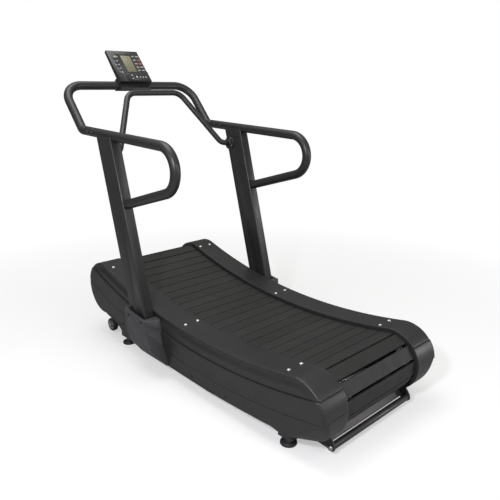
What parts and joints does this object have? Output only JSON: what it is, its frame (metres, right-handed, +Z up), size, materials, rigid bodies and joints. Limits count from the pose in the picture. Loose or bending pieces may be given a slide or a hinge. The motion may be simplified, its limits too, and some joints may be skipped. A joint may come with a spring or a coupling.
{
  "type": "curved manual treadmill",
  "caption": "Curved slat-belt manual treadmill with side covers, leaning uprights, looped hand rails, a bent front bar, a small tilting battery console, transport wheels and levelling feet",
  "frame": {"origin": "middle of the footprint, on the floor", "axes": "+X is the runner's right, +Y is forward, +Z is up"},
  "size_m": [0.844, 1.7783, 1.445],
  "materials": {
    "frame_paint": "satin",
    "frame_steel": "semi-gloss",
    "cover": "fine-textured satin",
    "boot": "fine-textured satin",
    "slat": "ribbed matte",
    "belt": "matte",
    "axle": "turned",
    "bearing": "ground",
    "bolt": "zinc plated",
    "bright_screw": "bright zinc",
    "dark_screw": "black oxide",
    "pulley": "machined",
    "magnet": "nickel",
    "sensor": "satin",
    "cable": "matte",
    "console_case": "satin",
    "console_face": "satin film",
    "lcd": "reflective grey-green",
    "board": "solder mask",
    "key": "satin silicone",
    "key_dark": "satin silicone",
    "rear_plate": "brushed",
    "lift_bar": "gloss",
    "wheel": "matte",
    "foot": "matte"
  },
  "bodies": {
    "chassis": {"side_beams": "frame_steel", "cross_tubes": "frame_steel", "floor_legs": "frame_steel", "bearing_rails": "frame_steel", "rail_brackets": "frame_steel", "track_bearings": "bearing", "track_bearing_bolts": "bolt", "running_slats": "slat", "slat_belts": "belt", "slat_screws": "bright_screw", "axle_bearings": "bearing", "bearing_blocks": "frame_steel", "chassis_bolts": "bolt", "speed_sensor": "sensor", "sensor_cable": "cable", "left_top_cover": "cover", "right_top_cover": "cover", "left_side_panel": "cover", "right_side_panel": "cover", "left_lower_skirt": "cover", "right_lower_skirt": "cover", "front_cover": "cover", "cover_supports": "frame_steel", "cover_screws": "bright_screw", "trim_screws": "dark_screw", "left_upright": "frame_paint", "right_upright": "frame_paint", "left_boot": "boot", "right_boot": "boot", "left_handrail": "frame_paint", "right_handrail": "frame_paint", "front_bar": "frame_paint", "rail_joint_fittings": "dark_screw", "cross_bar": "frame_paint", "rear_plate": "rear_plate", "lift_bar": "lift_bar", "lift_bar_brackets": "frame_steel", "wheel_brackets": "frame_steel"},
    "front_roller": {"front_axle": "axle", "front_pulleys": "pulley"},
    "rear_roller": {"rear_axle": "axle", "rear_pulleys": "pulley", "speed_magnet": "magnet"},
    "left_wheel": {"left_transport_wheel": "wheel"},
    "right_wheel": {"right_transport_wheel": "wheel"},
    "front_left_levelling_foot": {"front_left_foot": "foot"},
    "front_right_levelling_foot": {"front_right_foot": "foot"},
    "rear_left_levelling_foot": {"rear_left_foot": "foot"},
    "rear_right_levelling_foot": {"rear_right_foot": "foot"},
    "console": {"console_back": "console_case", "console_bezel": "console_face", "console_display": "lcd", "console_electronics": "board"},
    "battery_cover": {"battery_door": "console_case"},
    "up_button": {"up_key": "key"},
    "down_button": {"down_key": "key"},
    "enter_button": {"enter_key": "key"},
    "start_button": {"start_key": "key_dark"},
    "stop_button": {"stop_key": "key_dark"},
    "mode_button": {"mode_key": "key_dark"}
  },
  "joints": [
    {"name": "front_roller_spin", "type": "hinge", "parent": "chassis", "child": "front_roller", "pos_m": [0, 0.59387, 0.27048], "axis": [1, 0, 0], "continuous": true},
    {"name": "rear_roller_spin", "type": "hinge", "parent": "chassis", "child": "rear_roller", "pos_m": [0, -0.75913, 0.18821], "axis": [1, 0, 0], "continuous": true},
    {"name": "left_wheel_spin", "type": "hinge", "parent": "chassis", "child": "left_wheel", "pos_m": [-0.3122, 0.58087, 0.061], "axis": [1, 0, 0], "continuous": true},
    {"name": "right_wheel_spin", "type": "hinge", "parent": "chassis", "child": "right_wheel", "pos_m": [0.3122, 0.58087, 0.061], "axis": [1, 0, 0], "continuous": true},
    {"name": "front_left_foot_turn", "type": "hinge", "parent": "chassis", "child": "front_left_levelling_foot", "pos_m": [-0.3, 0.44187, 0], "axis": [0, 0, 1], "continuous": true},
    {"name": "front_right_foot_turn", "type": "hinge", "parent": "chassis", "child": "front_right_levelling_foot", "pos_m": [0.3, 0.44187, 0], "axis": [0, 0, 1], "continuous": true},
    {"name": "rear_left_foot_turn", "type": "hinge", "parent": "chassis", "child": "rear_left_levelling_foot", "pos_m": [-0.3, -0.68313, 0], "axis": [0, 0, 1], "continuous": true},
    {"name": "rear_right_foot_turn", "type": "hinge", "parent": "chassis", "child": "rear_right_levelling_foot", "pos_m": [0.3, -0.68313, 0], "axis": [0, 0, 1], "continuous": true},
    {"name": "console_tilt", "type": "hinge", "parent": "chassis", "child": "console", "pos_m": [0.012, 0.78487, 1.268], "axis": [1, 0, 0], "range_deg": [-15, 15]},
    {"name": "battery_cover_pull", "type": "slide", "parent": "console", "child": "battery_cover", "axis": [0, 0.7466, -0.6652], "range_m": [0, 0.015]},
    {"name": "up_press", "type": "slide", "parent": "console", "child": "up_button", "axis": [0, 0.7466, -0.6652], "range_m": [0, 0.001], "stiffness_N_per_m": 400},
    {"name": "down_press", "type": "slide", "parent": "console", "child": "down_button", "axis": [0, 0.7466, -0.6652], "range_m": [0, 0.001], "stiffness_N_per_m": 400},
    {"name": "enter_press", "type": "slide", "parent": "console", "child": "enter_button", "axis": [0, 0.7466, -0.6652], "range_m": [0, 0.001], "stiffness_N_per_m": 400},
    {"name": "start_press", "type": "slide", "parent": "console", "child": "start_button", "axis": [0, 0.7466, -0.6652], "range_m": [0, 0.001], "stiffness_N_per_m": 400},
    {"name": "stop_press", "type": "slide", "parent": "console", "child": "stop_button", "axis": [0, 0.7466, -0.6652], "range_m": [0, 0.001], "stiffness_N_per_m": 400},
    {"name": "mode_press", "type": "slide", "parent": "console", "child": "mode_button", "axis": [0, 0.7466, -0.6652], "range_m": [0, 0.001], "stiffness_N_per_m": 400}
  ],
  "couplings": [
    {"joint": "rear_roller_spin", "follows": "front_roller_spin", "ratio": 1}
  ]
}
